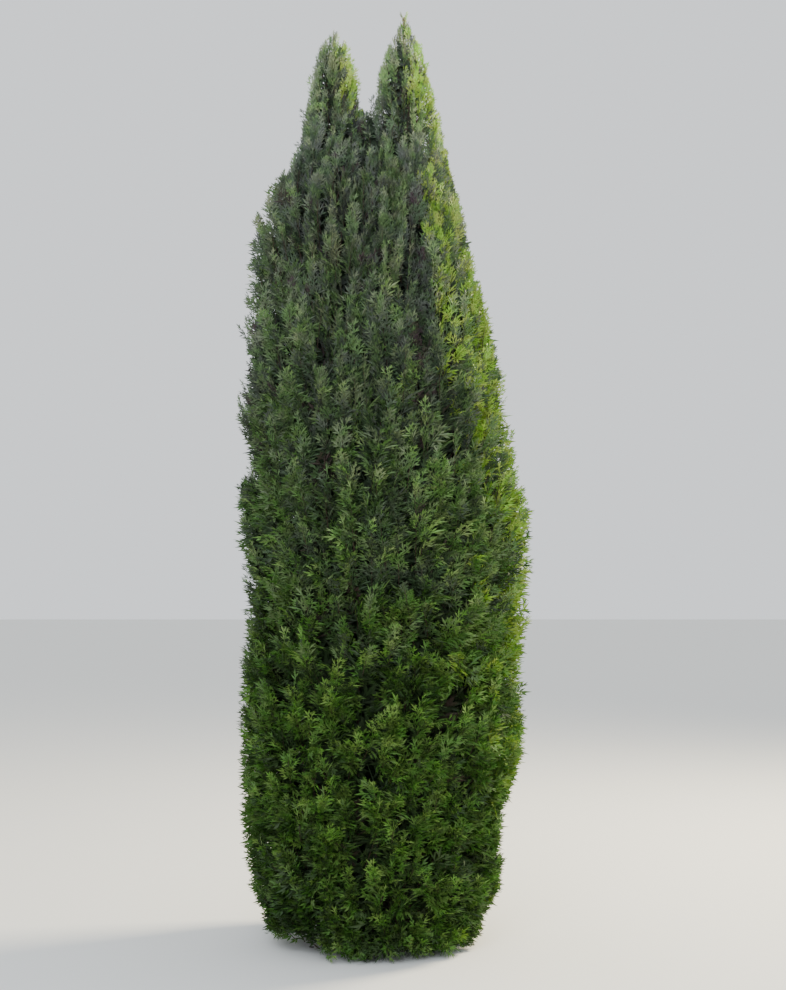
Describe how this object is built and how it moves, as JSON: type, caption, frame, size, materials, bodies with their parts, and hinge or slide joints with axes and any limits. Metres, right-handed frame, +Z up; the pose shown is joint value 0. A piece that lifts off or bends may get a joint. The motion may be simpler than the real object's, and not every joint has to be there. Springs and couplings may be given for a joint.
{
  "type": "arborvitae",
  "caption": "Tall, dense, columnar evergreen tree with two pointed tops, its foliage reaching down to the ground.",
  "frame": {"origin": "middle of the flat cut under the trunk, at ground level", "axes": "+Z up the trunk, +X to the right of the side that shows both tops, +Y away from that side"},
  "size_m": [1.4642, 1.4151, 4.6746],
  "materials": {
    "bark": "rough, fibrous reddish-grey bark",
    "foliage": "matt scale-leaved sprays"
  },
  "bodies": {
    "root": {"trunk": "bark", "leader_left": "bark", "bough_left": "bark", "bough_right": "bark", "skirt_right": "foliage", "skirt_back_right": "foliage", "skirt_back_left": "foliage", "skirt_left": "foliage", "skirt_front_left": "foliage", "skirt_front_right": "foliage", "lower_right": "foliage", "lower_back_right": "foliage", "lower_back_left": "foliage", "lower_left": "foliage", "lower_front_left": "foliage", "lower_front_right": "foliage", "middle_right": "foliage", "middle_back_right": "foliage", "middle_back_left": "foliage", "middle_left": "foliage", "middle_front_left": "foliage", "middle_front_right": "foliage", "upper_right": "foliage", "upper_back_right": "foliage", "upper_back_left": "foliage", "upper_left": "foliage", "upper_front_left": "foliage", "upper_front_right": "foliage", "shoulder_right": "foliage", "shoulder_back_right": "foliage", "shoulder_back_left": "foliage", "shoulder_left": "foliage", "shoulder_front_left": "foliage", "shoulder_front_right": "foliage", "top_right_right": "foliage", "top_right_back": "foliage", "top_right_front": "foliage", "top_left_left": "foliage", "top_left_front": "foliage", "top_left_back": "foliage"}
  },
  "joints": []
}
